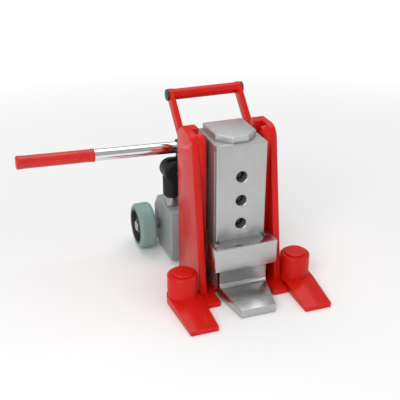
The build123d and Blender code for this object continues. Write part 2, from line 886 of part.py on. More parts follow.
with BuildPart() as valve_knob:
    with BuildSketch(Plane.XZ.offset(-knob_y)):
        with Locations((valve_x, valve_z)):
            Circle(valve_knob_radius)
            with PolarLocations(valve_knob_radius + valve_lobe_out, valve_lobes):
                Circle(valve_lobe_radius, mode=Mode.SUBTRACT)
    extrude(amount=-valve_knob_thick)
    with BuildSketch(Plane.XZ.offset(-knob_y)):
        with Locations((valve_x, valve_z)):
            Circle(valve_radius)
    extrude(amount=-valve_knob_thick / 2, mode=Mode.SUBTRACT)
    chamfer(valve_knob.faces().sort_by(Axis.Y)[-1].edges(), length=edge_break)
finish(valve_knob.part, "valve_knob")

# ---- pump plunger ----
plunger_top = pivot_z - nose_drop - nose_radius - seat_gap
with BuildPart() as plunger:
    with BuildSketch(Plane.XZ):
        with BuildLine():
            Polyline(
                (0, plunger_foot),
                (plunger_radius, plunger_foot),
                (plunger_radius, collar_low),
                (collar_radius, collar_low),
                (collar_radius, collar_low + collar_thick),
                (plunger_radius, collar_low + collar_thick),
                (plunger_radius, plunger_top - plunger_tip_high),
                (plunger_radius - plunger_tip_in, plunger_top),
                (0, plunger_top),
                close=True,
            )
        make_face()
    revolve(axis=Axis.Z)
plunger.part.locate(Location((pump_x, pump_y, 0)))
finish(plunger.part, "plunger")

plunger_spring_low = spigot_top + spring_gap
plunger_spring_high = collar_low - spring_gap
plunger_spring_radius = (plunger_radius + spigot_radius) / 2
with BuildPart() as plunger_spring:
    coil_high = plunger_spring_high - plunger_spring_low - 2 * plunger_wire
    with BuildLine():
        Helix(
            pitch=coil_high / plunger_turns,
            height=coil_high,
            radius=plunger_spring_radius,
            center=(0, 0, plunger_spring_low + plunger_wire),
        )
    coil_start = (plunger_spring_radius, 0, plunger_spring_low + plunger_wire)
    with BuildSketch(Plane(origin=coil_start, z_dir=(0, 1, 0))):
        Circle(plunger_wire)
    sweep(is_frenet=True)
plunger_spring.part.locate(Location((pump_x, pump_y, 0)))
finish(plunger_spring.part, "plunger_spring")

# ---- pump head ----
cheek_inner_y = fork_slot / 2
cheek_outer_y = cheek_inner_y + cheek_thick
with BuildPart() as pump_head:
    with BuildSketch(Plane.XY.offset(pump_boss_top + slide_gap)):
        with Locations(pump_axis):
            Circle(head_stem_radius)
    extrude(amount=slot_floor + stem_overlap - pump_boss_top - slide_gap)
    chamfer(pump_head.faces().sort_by(Axis.Z)[0].edges(), length=head_stem_chamfer)
    with BuildSketch(Plane.XZ.offset(-(pump_y - cheek_outer_y))):
        with BuildLine():
            CenterArc((pump_x, pivot_z), cheek_radius, 0, 360)
            CenterArc((pivot_x, pivot_z), cheek_radius, 0, 360)
        make_hull()
    extrude(amount=-2 * cheek_outer_y)
    cheek_faces = pump_head.faces().filter_by(Axis.Y).sort_by(Axis.Y)
    rims = cheek_faces[0].edges() + cheek_faces[-1].edges()
    fillet(rims, radius=cheek_round)
    with BuildSketch(Plane.XZ.offset(-(pump_y - cheek_inner_y))):
        # the slot is closed on the lever's side
        slot_end = pump_x - nose_radius - slot_room
        slot_open = pivot_x + 2 * cheek_radius
        with BuildLine():
            Polyline(
                (slot_end, slot_floor),
                (slot_open, slot_floor),
                (slot_open, pivot_z + 2 * cheek_radius),
                (slot_end, pivot_z + 2 * cheek_radius),
                close=True,
            )
        make_face()
    extrude(amount=-fork_slot, mode=Mode.SUBTRACT)
    with BuildSketch(Plane.XY.offset(pump_boss_top)):
        with Locations(pump_axis):
            Circle(spigot_radius + running_fit)
    extrude(amount=head_bore_top - pump_boss_top, mode=Mode.SUBTRACT)
    with BuildSketch(Plane.XZ.offset(-(pump_y - cheek_outer_y))):
        with Locations((pivot_x, pivot_z)):
            Circle(pivot_radius)
    extrude(amount=-2 * cheek_outer_y, mode=Mode.SUBTRACT)
finish(pump_head.part, "pump_head")

with BuildPart() as rocker_pin:
    with BuildSketch(Plane.XZ.offset(-(pump_y - cheek_outer_y))):
        with Locations((pivot_x, pivot_z)):
            Circle(pivot_radius)
    extrude(amount=-2 * cheek_outer_y)
finish(rocker_pin.part, "rocker_pin")

with BuildPart() as pin_clips:
    for clip_y in (pump_y - cheek_outer_y - pin_clip_thick, pump_y + cheek_outer_y):
        with BuildSketch(Plane.XZ.offset(-clip_y)):
            with Locations((pivot_x, pivot_z)):
                Circle(pin_clip_radius)
        extrude(amount=-pin_clip_thick)
finish(pin_clips.part, "pin_clips")

# ---- rocker and lever ----
lever_way = Vector(-cos(radians(lever_pitch)), 0, sin(radians(lever_pitch)))
lever_base = Vector(pivot_x, pump_y, lever_z)
socket_inner = lever_radius + running_fit
socket_outer = lever_radius + socket_wall
socket_back = lever_inside + slide_gap + socket_floor


def lever_plane(along):
    """Plane square to the lever, at a distance along it from above the pivot."""
    return Plane(origin=lever_base + lever_way * along, x_dir=(0, 1, 0), z_dir=lever_way)


rocker_thick = fork_slot - 2 * fork_gap
with BuildPart() as rocker:
    with BuildSketch(Plane.XZ.offset(-(pump_y - rocker_thick / 2))):
        with BuildLine():
            CenterArc((pivot_x, pivot_z), hub_radius, 0, 360)
            CenterArc((pump_x, pivot_z - nose_drop), nose_radius, 0, 360)
        make_hull()
        with BuildLine():
            Polyline(
                (pivot_x - web_inset, pivot_z),
                (pivot_x + hub_radius, pivot_z),
                (pivot_x + socket_back - web_inset, lever_z - lever_radius + web_inset),
                (pivot_x + socket_back - web_inset, lever_z - web_inset),
                (pivot_x, lever_z - web_inset),
                close=True,
            )
        make_face()
    extrude(amount=-rocker_thick)
    with BuildSketch(lever_plane(-socket_back)):
        Circle(socket_outer)
    extrude(amount=socket_back + socket_lead)
    with BuildSketch(lever_plane(-socket_back + socket_floor)):
        Circle(socket_inner)
    extrude(amount=socket_back + socket_lead, mode=Mode.SUBTRACT)
    with BuildSketch(Plane.XZ.offset(-(pump_y - rocker_thick / 2))):
        with Locations((pivot_x, pivot_z)):
            Circle(pivot_radius + running_fit)
    extrude(amount=-rocker_thick, mode=Mode.SUBTRACT)
finish(rocker.part, "rocker")

with BuildPart() as lever_tube:
    with BuildSketch(lever_plane(-lever_inside)):
        Circle(lever_radius)
        Circle(lever_radius - lever_wall, mode=Mode.SUBTRACT)
    extrude(amount=lever_inside + lever_reach - grip_end)
finish(lever_tube.part, "lever_tube")

with BuildPart() as lever_grip:
    with BuildSketch(lever_plane(lever_reach - grip_long)):
        Circle(grip_radius)
    extrude(amount=grip_long)
    fillet(lever_grip.edges().filter_by(GeomType.CIRCLE).sort_by(Axis.X)[0], radius=grip_end_round)
    fillet(lever_grip.edges().filter_by(GeomType.CIRCLE).sort_by(Axis.X)[-1], radius=grip_mouth_round)
    with BuildSketch(lever_plane(lever_reach - grip_long)):
        Circle(lever_radius)
    extrude(amount=grip_long - grip_end, mode=Mode.SUBTRACT)
finish(lever_grip.part, "lever_grip")

# ---- swing-out feet ----
foot_low = base_thick + slide_gap
for side in (-1, 1):
    with BuildPart() as foot:
        with BuildSketch(Plane.XY):
            with BuildLine():
                Polyline(
                    (side * (foot_x - blade_root_half), foot_y),
                    (side * blade_tip_inner, blade_tip_y),
                    (side * blade_tip_outer, blade_tip_y),
                    (side * (foot_x + blade_root_half), foot_y),
                    close=True,
                )
            make_face()
            fillet(vertices().group_by(Axis.Y)[0], radius=blade_tip_round)
            with Locations((side * foot_x, foot_y)):
                Circle(blade_root_half)
        extrude(amount=blade_root_high)
        # the blade thins towards its tip
        with BuildSketch(Plane.YZ.offset(side * foot_x)):
            with BuildLine():
                Polyline(
                    (foot_y - foot_boss_radius, blade_root_high),
                    (blade_tip_y - 1, blade_tip_high),
                    (blade_tip_y - 1, blade_root_high + 1),
                    (foot_y - foot_boss_radius, blade_root_high + 1),
                    close=True,
                )
            make_face()
        extrude(amount=2 * blade_root_half, both=True, mode=Mode.SUBTRACT)
        with BuildSketch(Plane.XY):
            with Locations((side * foot_x, foot_y)):
                Circle(foot_boss_radius)
        extrude(amount=foot_boss_top)
        chamfer(foot.faces().sort_by(Axis.Z)[-1].edges(), length=foot_boss_chamfer)
        # pocket for the rail's ear, open where the ear's neck sweeps as the foot swings
        neck_angles = [270 - side * (90 + foot_swing * i / neck_steps) for i in range(neck_steps + 1)]
        with BuildSketch(Plane.XY):
            with Locations((side * foot_x, foot_y)):
                Circle(ear_radius + slide_gap)
            for angle in neck_angles:
                with Locations(Location((side * foot_x, foot_y, 0), (0, 0, angle))):
                    Rectangle(2 * ear_radius, ear_neck + 2 * slide_gap, align=(Align.MIN, Align.CENTER))
        extrude(amount=foot_low, mode=Mode.SUBTRACT)
        with BuildSketch(Plane.XY.offset(foot_low)):
            with Locations((side * foot_x, foot_y)):
                Circle(foot_pin_radius + running_fit)
        extrude(amount=foot_boss_top - foot_low, mode=Mode.SUBTRACT)
    finish(foot.part, f"foot_{side_name(side)}")

    with BuildPart() as foot_pin:
        with BuildSketch(Plane.XY):
            with Locations((side * foot_x, foot_y)):
                Circle(foot_pin_radius)
        extrude(amount=foot_boss_top + slide_gap)
        with BuildSketch(Plane.XY.offset(foot_boss_top + slide_gap)):
            with Locations((side * foot_x, foot_y)):
                Circle(foot_cap_radius)
        extrude(amount=foot_cap_high)
        chamfer(foot_pin.faces().sort_by(Axis.Z)[-1].edges(), length=edge_break)
    finish(foot_pin.part, f"foot_pin_{side_name(side)}")

# ---- wheels ----
axle_end = wheel_x + wheel_wide / 2
with BuildPart() as axle:
    with BuildSketch(Plane.YZ.offset(-axle_end)):
        with Locations((wheel_y, wheel_z)):
            Circle(axle_radius)
    extrude(amount=2 * axle_end)
    chamfer(axle.edges().filter_by(GeomType.CIRCLE), length=axle_end_chamfer)
finish(axle.part, "axle")

# push-on caps hold the wheels on the axle
wheel_hub_half = wheel_wide / 2 - hub_set_in
cap_x = wheel_x + wheel_hub_half + slide_gap
with BuildPart() as axle_caps:
    for side in (-1, 1):
        with BuildSketch(Plane.YZ.offset(side * cap_x)):
            with Locations((wheel_y, wheel_z)):
                Circle(axle_cap_radius)
                Circle(axle_radius, mode=Mode.SUBTRACT)
        extrude(amount=side * axle_cap_thick)
finish(axle_caps.part, "axle_caps")

with BuildPart() as axle_spacers:
    spacer_long = wheel_x - wheel_hub_half - slide_gap - tank_half
    for side in (-1, 1):
        with BuildSketch(Plane.YZ.offset(side * tank_half)):
            with Locations((wheel_y, wheel_z)):
                Circle(axle_cap_radius)
                Circle(axle_radius, mode=Mode.SUBTRACT)
        extrude(amount=side * spacer_long)
finish(axle_spacers.part, "axle_spacers")

web_half = web_thick / 2
for side in (-1, 1):
    wheel_plane = Plane(origin=(side * wheel_x, wheel_y, wheel_z), x_dir=(0, 0, 1), z_dir=(side, 0, 0))

    with BuildPart() as wheel_tyre:
        with BuildSketch(Plane.XZ):
            with BuildLine():
                Polyline(
                    (rim_radius, -wheel_wide / 2),
                    (wheel_radius, -wheel_wide / 2),
                    (wheel_radius, wheel_wide / 2),
                    (rim_radius, wheel_wide / 2),
                    close=True,
                )
            make_face()
            fillet(vertices().group_by(Axis.X)[-1], radius=tyre_round)
        revolve(axis=Axis.Z)
    wheel_tyre.part.locate(wheel_plane.location)
    finish(wheel_tyre.part, f"wheel_tyre_{side_name(side)}")

    with BuildPart() as wheel_hub:
        with BuildSketch(Plane.XZ):
            with BuildLine():
                Polyline(
                    (bush_radius, -wheel_hub_half),
                    (hub_barrel_radius, -wheel_hub_half),
                    (hub_barrel_radius, -web_half),
                    (rim_radius - rim_wall, -web_half),
                    (rim_radius - rim_wall, -wheel_wide / 2),
                    (rim_radius, -wheel_wide / 2),
                    (rim_radius, wheel_wide / 2),
                    (rim_radius - rim_wall, wheel_wide / 2),
                    (rim_radius - rim_wall, web_half),
                    (hub_barrel_radius, web_half),
                    (hub_barrel_radius, wheel_hub_half),
                    (bush_radius, wheel_hub_half),
                    close=True,
                )
            make_face()
        revolve(axis=Axis.Z)
        spoke_long = rim_radius - rim_wall - hub_barrel_radius + 2 * spoke_root
        with BuildSketch(Plane.XY):
            with PolarLocations(hub_barrel_radius - spoke_root + spoke_long / 2, spoke_count):
                Rectangle(spoke_long, spoke_thick)
        extrude(amount=wheel_hub_half - spoke_set_in, both=True)
    wheel_hub.part.locate(wheel_plane.location)
    finish(wheel_hub.part, f"wheel_hub_{side_name(side)}")

    with BuildPart() as wheel_bush:
        with BuildSketch(Plane.XY.offset(-wheel_hub_half)):
            Circle(bush_radius)
            Circle(axle_radius + running_fit, mode=Mode.SUBTRACT)
        extrude(amount=2 * wheel_hub_half)
    wheel_bush.part.locate(wheel_plane.location)
    finish(wheel_bush.part, f"wheel_bush_{side_name(side)}")
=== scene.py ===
import json
from math import cos, pi, radians, sin

import bmesh
import bpy
from mathutils import Matrix, Vector


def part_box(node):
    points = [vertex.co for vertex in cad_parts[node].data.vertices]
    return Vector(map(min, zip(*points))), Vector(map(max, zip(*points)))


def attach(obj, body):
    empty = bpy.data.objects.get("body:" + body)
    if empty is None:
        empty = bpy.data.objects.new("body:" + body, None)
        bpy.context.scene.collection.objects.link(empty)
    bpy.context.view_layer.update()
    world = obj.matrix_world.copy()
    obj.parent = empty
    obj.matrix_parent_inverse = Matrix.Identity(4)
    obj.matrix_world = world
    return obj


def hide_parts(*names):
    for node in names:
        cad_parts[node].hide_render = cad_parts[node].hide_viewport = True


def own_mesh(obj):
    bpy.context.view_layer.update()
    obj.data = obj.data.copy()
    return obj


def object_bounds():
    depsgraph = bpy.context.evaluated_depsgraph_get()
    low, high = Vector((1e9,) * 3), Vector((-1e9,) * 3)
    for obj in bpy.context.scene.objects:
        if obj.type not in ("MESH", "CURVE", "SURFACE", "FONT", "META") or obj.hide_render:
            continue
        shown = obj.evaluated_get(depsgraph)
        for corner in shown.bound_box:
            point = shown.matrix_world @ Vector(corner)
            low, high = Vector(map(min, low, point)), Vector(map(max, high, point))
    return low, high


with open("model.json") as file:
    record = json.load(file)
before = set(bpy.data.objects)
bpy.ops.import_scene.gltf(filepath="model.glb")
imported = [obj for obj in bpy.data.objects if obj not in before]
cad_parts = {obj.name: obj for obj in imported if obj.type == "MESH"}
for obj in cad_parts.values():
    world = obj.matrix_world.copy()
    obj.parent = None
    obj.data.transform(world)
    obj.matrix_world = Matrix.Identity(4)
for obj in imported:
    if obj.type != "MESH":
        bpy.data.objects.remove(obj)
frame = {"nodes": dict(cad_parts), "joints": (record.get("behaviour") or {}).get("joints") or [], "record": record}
cadLow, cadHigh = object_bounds()
nodes = frame["nodes"]
record = frame["record"]
print("frame loaded:", len(nodes), "nodes")

sides = (("left", -1), ("right", 1))
bodyOf = {node: body for body, names in record["behaviour"]["bodies"].items() for node in names}
slotOf = {entry["node"]: entry["material_slot"] for entry in record["subparts"]}
bevelSamples = 4  # rays that find a rounded edge at each point


# small helpers for node trees
def newFinish(name):
    finish = bpy.data.materials.new(name)
    finish.use_nodes = True
    tree = finish.node_tree
    tree.nodes.clear()
    output = tree.nodes.new("ShaderNodeOutputMaterial")
    shader = tree.nodes.new("ShaderNodeBsdfPrincipled")
    tree.links.new(shader.outputs["BSDF"], output.inputs["Surface"])
    coords = tree.nodes.new("ShaderNodeTexCoord")
    return finish, tree, shader, coords


def addNoise(tree, coords, scale, detail, stretch=(1.0, 1.0, 1.0), roughness=0.55):
    place = tree.nodes.new("ShaderNodeMapping")
    place.inputs["Scale"].default_value = stretch
    tree.links.new(coords.outputs["Object"], place.inputs["Vector"])
    noise = tree.nodes.new("ShaderNodeTexNoise")
    noise.inputs["Scale"].default_value = scale
    noise.inputs["Detail"].default_value = detail
    noise.inputs["Roughness"].default_value = roughness
    tree.links.new(place.outputs["Vector"], noise.inputs["Vector"])
    return noise.outputs["Fac"]


def remap(tree, value, low, high, toLow, toHigh):
    node = tree.nodes.new("ShaderNodeMapRange")
    node.clamp = True
    node.inputs["From Min"].default_value = low
    node.inputs["From Max"].default_value = high
    node.inputs["To Min"].default_value = toLow
    node.inputs["To Max"].default_value = toHigh
    tree.links.new(value, node.inputs["Value"])
    return node.outputs["Result"]


def combine(tree, first, second):
    node = tree.nodes.new("ShaderNodeMath")
    node.operation = "MULTIPLY"
    node.use_clamp = True
    tree.links.new(first, node.inputs[0])
    tree.links.new(second, node.inputs[1])
    return node.outputs["Value"]


def mixColours(tree, factor, first, second):
    node = tree.nodes.new("ShaderNodeMix")
    node.data_type = "RGBA"
    tree.links.new(factor, node.inputs["Factor"])
    for socketName, colour in (("A", first), ("B", second)):
        socket = [s for s in node.inputs if s.name == socketName and s.type == "RGBA"][0]
        if isinstance(colour, tuple):
            socket.default_value = (*colour, 1.0)
        else:
            tree.links.new(colour, socket)
    return [s for s in node.outputs if s.type == "RGBA"][0]


def edgeMask(tree, radius, start, full):
    # 1 on the outer edges of a piece, 0 on its flats
    rounded = tree.nodes.new("ShaderNodeBevel")
    rounded.samples = bevelSamples
    rounded.inputs["Radius"].default_value = radius
    plain = tree.nodes.new("ShaderNodeNewGeometry")
    compare = tree.nodes.new("ShaderNodeVectorMath")
    compare.operation = "DOT_PRODUCT"
    tree.links.new(rounded.outputs["Normal"], compare.inputs[0])
    tree.links.new(plain.outputs["Normal"], compare.inputs[1])
    return remap(tree, compare.outputs["Value"], start, full, 0.0, 1.0)


def addBump(tree, height, depth, strength, under):
    bump = tree.nodes.new("ShaderNodeBump")
    bump.inputs["Strength"].default_value = strength
    bump.inputs["Distance"].default_value = depth
    tree.links.new(height, bump.inputs["Height"])
    tree.links.new(under, bump.inputs["Normal"])
    return bump.outputs["Normal"]


def roundedNormal(tree, radius):
    rounded = tree.nodes.new("ShaderNodeBevel")
    rounded.samples = bevelSamples
    rounded.inputs["Radius"].default_value = radius
    return rounded.outputs["Normal"]


# finishes
def enamelFinish(name, look):
    # sprayed enamel: orange peel, faint sagging in the coat, chips along the edges
    finish, tree, shader, coords = newFinish(name)
    cloud = addNoise(tree, coords, look["cloudScale"], look["cloudDetail"])
    shade = remap(tree, cloud, *look["cloudSpan"], 0.0, 1.0)
    colour = mixColours(tree, shade, look["colour"], look["deepColour"])
    speck = addNoise(tree, coords, look["chipScale"], look["chipDetail"], roughness=look["chipRough"])
    chips = combine(tree, edgeMask(tree, look["chipReach"], *look["chipEdge"]),
                    remap(tree, speck, look["chipStart"], look["chipStart"] + look["chipSoft"], 0.0, 1.0))
    colour = mixColours(tree, chips, colour, look["chipColour"])
    film = addNoise(tree, coords, look["dustScale"], look["dustDetail"])
    dust = remap(tree, film, *look["dustSpan"], 0.0, look["dust"])
    colour = mixColours(tree, dust, colour, look["dustColour"])
    tree.links.new(colour, shader.inputs["Base Color"])
    smear = addNoise(tree, coords, look["smearScale"], look["smearDetail"])
    rough = remap(tree, smear, *look["smearSpan"], look["roughLow"], look["roughHigh"])
    tree.links.new(rough, shader.inputs["Roughness"])
    peel = addNoise(tree, coords, look["peelScale"], look["bumpDetail"])
    sag = addNoise(tree, coords, look["sagScale"], look["bumpDetail"])
    normal = addBump(tree, sag, look["sagDeep"], look["sag"], roundedNormal(tree, look["edgeRadius"]))
    normal = addBump(tree, peel, look["peelDeep"], look["peel"], normal)
    normal = addBump(tree, combine(tree, chips, smear), look["chipDeep"], look["chip"], normal)
    tree.links.new(normal, shader.inputs["Normal"])
    shader.inputs["Specular IOR Level"].default_value = look["gloss"]
    shader.inputs["Coat Weight"].default_value = look["coat"]
    shader.inputs["Coat Roughness"].default_value = look["coatRough"]
    return finish


def metalFinish(name, look):
    # ground or drawn metal: long fine lines, a few deeper scratches, brighter edges
    finish, tree, shader, coords = newFinish(name)
    lines = addNoise(tree, coords, look["lineScale"], look["lineDetail"], look["lineStretch"],
                     look["lineRough"])
    cloud = addNoise(tree, coords, look["cloudScale"], look["cloudDetail"])
    shade = remap(tree, cloud, *look["cloudSpan"], 0.0, 1.0)
    colour = mixColours(tree, shade, look["colour"], look["darkColour"])
    streaks = remap(tree, lines, *look["lineSpan"], 0.0, look["lineShade"])
    colour = mixColours(tree, streaks, colour, look["lineColour"])
    rub = addNoise(tree, coords, look["rubScale"], look["rubDetail"])
    worn = combine(tree, edgeMask(tree, look["edgeReach"], *look["edgeSpan"]),
                   remap(tree, rub, *look["rubSpan"], 0.0, look["edgeShine"]))
    colour = mixColours(tree, worn, colour, look["edgeColour"])
    tree.links.new(colour, shader.inputs["Base Color"])
    grain = combine(tree, remap(tree, lines, *look["grainSpan"], look["roughLow"], look["roughHigh"]),
                    remap(tree, cloud, *look["polishSpan"], *look["polish"]))
    tree.links.new(grain, shader.inputs["Roughness"])
    rounded = roundedNormal(tree, look["edgeRadius"])
    normal = addBump(tree, lines, look["lineDeep"], look["lineDepth"], rounded)
    scratches = addNoise(tree, coords, look["scratchScale"], look["scratchDetail"], look["scratchStretch"],
                         look["scratchRough"])
    scratched = remap(tree, scratches, *look["scratchSpan"], 0.0, 1.0)
    normal = addBump(tree, scratched, look["scratchDeep"], look["scratchDepth"], normal)
    tree.links.new(normal, shader.inputs["Normal"])
    shader.inputs["Metallic"].default_value = look["metallic"]
    return finish


def mouldedFinish(name, look):
    # moulded plastic or rubber: fine grain and scuffs on the edges
    finish, tree, shader, coords = newFinish(name)
    cloud = addNoise(tree, coords, look["cloudScale"], look["cloudDetail"])
    shade = remap(tree, cloud, *look["cloudSpan"], 0.0, 1.0)
    colour = mixColours(tree, shade, look["colour"], look["darkColour"])
    scuff = addNoise(tree, coords, look["scuffScale"], look["scuffDetail"])
    scuffs = combine(tree, edgeMask(tree, look["edgeReach"], *look["edgeSpan"]),
                     remap(tree, scuff, *look["scuffSpan"], 0.0, look["scuff"]))
    colour = mixColours(tree, scuffs, colour, look["scuffColour"])
    tree.links.new(colour, shader.inputs["Base Color"])
    rough = remap(tree, scuff, *look["roughSpan"], look["roughLow"], look["roughHigh"])
    tree.links.new(rough, shader.inputs["Roughness"])
    grain = addNoise(tree, coords, look["grainScale"], look["grainDetail"])
    normal = addBump(tree, cloud, look["waveDeep"], look["wave"], roundedNormal(tree, look["edgeRadius"]))
    normal = addBump(tree, grain, look["grainDeep"], look["grain"], normal)
    tree.links.new(normal, shader.inputs["Normal"])
    return finish


# looks: a Span is where in the noise a mask starts and is full, a Deep is a bump's height in metres
# and a Depth is its strength
enamelLook = {
    "colour": (0.64, 0.0080, 0.0025), "deepColour": (0.56, 0.0055, 0.0018),
    "chipColour": (0.20, 0.034, 0.022), "dustColour": (0.62, 0.050, 0.026),
    "cloudScale": 9.0, "chipScale": 210.0, "chipReach": 0.0011, "chipStart": 0.56,
    "peelScale": 520.0, "peel": 0.16, "dust": 0.10, "gloss": 0.16,
    "roughLow": 0.34, "roughHigh": 0.46, "coat": 0.22, "coatRough": 0.09, "edgeRadius": 0.0007,
    "cloudDetail": 5.0, "cloudSpan": (0.35, 0.68), "chipDetail": 6.0, "chipRough": 0.7, "chipSoft": 0.06,
    "chipEdge": (0.985, 0.86), "chipDeep": 0.00008, "chip": 0.35,
    "dustScale": 26.0, "dustDetail": 7.0, "dustSpan": (0.60, 0.85),
    "smearScale": 34.0, "smearDetail": 6.0, "smearSpan": (0.3, 0.7),
    "bumpDetail": 2.0, "peelDeep": 0.00012, "sagScale": 45.0, "sagDeep": 0.0006, "sag": 0.10,
}
tankLook = dict(enamelLook, colour=(0.31, 0.345, 0.335), deepColour=(0.26, 0.29, 0.285),
                chipColour=(0.13, 0.13, 0.13), dustColour=(0.42, 0.44, 0.42),
                roughLow=0.34, roughHigh=0.48, coat=0.0, coatRough=0.3, dust=0.22, peel=0.35, gloss=0.4)
pumpBlackLook = dict(enamelLook, colour=(0.016, 0.016, 0.017), deepColour=(0.010, 0.010, 0.011),
                     chipColour=(0.16, 0.16, 0.16), dustColour=(0.09, 0.09, 0.09),
                     roughLow=0.36, roughHigh=0.52, coat=0.0, coatRough=0.3,
                     peelScale=330.0, peel=0.5, dust=0.10)
steelLook = {
    "colour": (0.52, 0.525, 0.52), "darkColour": (0.46, 0.465, 0.46), "lineColour": (0.36, 0.365, 0.365),
    "edgeColour": (0.72, 0.72, 0.71), "cloudScale": 7.0,
    "lineScale": 520.0, "lineStretch": (1.0, 1.0, 0.03),
    "lineShade": 0.16, "lineDepth": 0.14, "edgeReach": 0.0012, "edgeShine": 0.75,
    "scratchScale": 46.0, "scratchStretch": (0.35, 1.0, 5.0), "scratchDepth": 0.10,
    "roughLow": 0.36, "roughHigh": 0.50, "metallic": 0.86, "edgeRadius": 0.0006,
    "cloudDetail": 5.0, "cloudSpan": (0.3, 0.7), "lineDetail": 3.0, "lineRough": 0.6,
    "lineSpan": (0.42, 0.72), "lineDeep": 0.00006, "grainSpan": (0.3, 0.7),
    "rubScale": 60.0, "rubDetail": 5.0, "rubSpan": (0.36, 0.60), "edgeSpan": (0.99, 0.88),
    "polishSpan": (0.2, 0.8), "polish": (0.85, 1.0),
    "scratchDetail": 2.0, "scratchRough": 0.7, "scratchSpan": (0.66, 0.70), "scratchDeep": 0.00004,
}
clawLook = dict(steelLook, lineStretch=(0.03, 1.0, 1.0), scratchStretch=(5.0, 0.5, 0.35),
                colour=(0.55, 0.555, 0.55), darkColour=(0.47, 0.475, 0.47), scratchDepth=0.2,
                roughLow=0.24, roughHigh=0.35, metallic=1.0)
headPlateLook = dict(steelLook, colour=(0.60, 0.60, 0.60), darkColour=(0.54, 0.54, 0.54),
                     lineStretch=(1.0, 0.03, 1.0), lineShade=0.25)
turnedLook = dict(steelLook, colour=(0.42, 0.42, 0.42), darkColour=(0.33, 0.33, 0.335),
                  lineStretch=(1.0, 1.0, 6.0), roughLow=0.28, roughHigh=0.42, metallic=1.0)
chromeLook = dict(steelLook, colour=(0.83, 0.83, 0.84), darkColour=(0.78, 0.78, 0.79),
                  lineColour=(0.60, 0.60, 0.62), lineStretch=(0.02, 1.0, 1.0), lineShade=0.10,
                  lineDepth=0.04, roughLow=0.09, roughHigh=0.17, scratchDepth=0.04, metallic=1.0,
                  edgeRadius=0.0004)
# the barrel's near-black colour is painted shade: it stands in for the shade inside the casing's index holes,
# where the turned barrel shows through
barrelPaintedShadeLook = dict(turnedLook, colour=(0.10, 0.10, 0.105), darkColour=(0.07, 0.07, 0.072),
                  lineColour=(0.05, 0.05, 0.05), edgeColour=(0.20, 0.20, 0.20), roughLow=0.42, roughHigh=0.56)
zincLook = dict(steelLook, colour=(0.56, 0.56, 0.54), darkColour=(0.44, 0.44, 0.43),
                lineStretch=(1.0, 1.0, 1.0), lineScale=900.0, roughLow=0.30, roughHigh=0.46, metallic=1.0,
                edgeRadius=0.0003)
springLook = dict(zincLook, colour=(0.16, 0.16, 0.17), darkColour=(0.10, 0.10, 0.11))
bronzeLook = dict(zincLook, colour=(0.55, 0.34, 0.13), darkColour=(0.42, 0.25, 0.10),
                  edgeColour=(0.75, 0.55, 0.28))
tyreLook = {
    "colour": (0.232, 0.345, 0.325), "darkColour": (0.195, 0.290, 0.272),
    "scuffColour": (0.36, 0.41, 0.39), "cloudScale": 24.0,
    "grainScale": 640.0, "grain": 0.35, "scuff": 0.45, "edgeReach": 0.002,
    "roughLow": 0.44, "roughHigh": 0.62, "edgeRadius": 0.0008,
    "cloudDetail": 5.0, "cloudSpan": (0.3, 0.7), "waveDeep": 0.0004, "wave": 0.08,
    "scuffScale": 120.0, "scuffDetail": 5.0, "scuffSpan": (0.48, 0.62), "edgeSpan": (0.985, 0.88),
    "roughSpan": (0.3, 0.7), "grainDetail": 3.0, "grainDeep": 0.0001,
}
blackPlasticLook = dict(tyreLook, colour=(0.028, 0.029, 0.031), darkColour=(0.018, 0.018, 0.019),
                        scuffColour=(0.12, 0.12, 0.12), roughLow=0.30, roughHigh=0.48)
sealLook = dict(blackPlasticLook, roughLow=0.5, roughHigh=0.66)
gripLook = dict(tyreLook, colour=(0.62, 0.012, 0.007), darkColour=(0.52, 0.008, 0.005),
                scuffColour=(0.68, 0.09, 0.07), roughLow=0.24, roughHigh=0.38,
                grainScale=420.0, grain=0.18, scuff=0.3)

finishes = {
    "red_paint": enamelFinish("redEnamel", enamelLook),
    "grey_cast": enamelFinish("tankCasting", tankLook),
    "black_paint": enamelFinish("pumpHeadEnamel", pumpBlackLook),
    "machined_steel": metalFinish("groundSteel", steelLook),
    "claw_steel": metalFinish("clawSteel", clawLook),
    "head_steel": metalFinish("headPlateSteel", headPlateLook),
    "steel": metalFinish("turnedSteel", turnedLook),
    "barrel_steel": metalFinish("blackenedSteel", barrelPaintedShadeLook),
    "chrome": metalFinish("leverChrome", chromeLook),
    "zinc": metalFinish("zincPlate", zincLook),
    "spring_steel": metalFinish("springWire", springLook),
    "bronze": metalFinish("bushBronze", bronzeLook),
    "black_plastic": mouldedFinish("blackCapPlastic", blackPlasticLook),
    "seal_rubber": mouldedFinish("sealRubber", sealLook),
    "grip_plastic": mouldedFinish("gripSleevePlastic", gripLook),
    "tyre_rubber": mouldedFinish("treadRubber", tyreLook),
}
# the barrel gets the near-black finish whose colour is painted shade for the index holes
finishOf = {"claw": "claw_steel", "head_plate": "head_steel", "barrel": "barrel_steel"}
for node, piece in nodes.items():
    chosen = finishes[finishOf.get(node, slotOf[node])]
    if not piece.material_slots:
        piece.data.materials.append(chosen)
    for holder in piece.material_slots:
        holder.material = chosen
print("finishes made:", len(finishes))


# small helpers for pieces
weldReach = 1e-6  # points closer than this are one point
smoothUnder = 32.0  # an edge with a smaller angle than this, in degrees, is shaded smooth


def closePiece(shape, name, node, hides=()):
    # merges the shape, turns its faces outwards and hands it to its body
    bmesh.ops.remove_doubles(shape, verts=shape.verts[:], dist=weldReach)
    bmesh.ops.recalc_face_normals(shape, faces=shape.faces[:])
    for face in shape.faces:
        face.smooth = True
    mesh = bpy.data.meshes.new(name)
    shape.to_mesh(mesh)
    shape.free()
    mesh.set_sharp_from_angle(angle=radians(smoothUnder))
    mesh.materials.append(finishes[finishOf.get(node, slotOf[node])])
    piece = bpy.data.objects.new(name, mesh)
    bpy.context.scene.collection.objects.link(piece)
    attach(piece, bodyOf[node])
    if hides:
        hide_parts(*hides)
    return piece


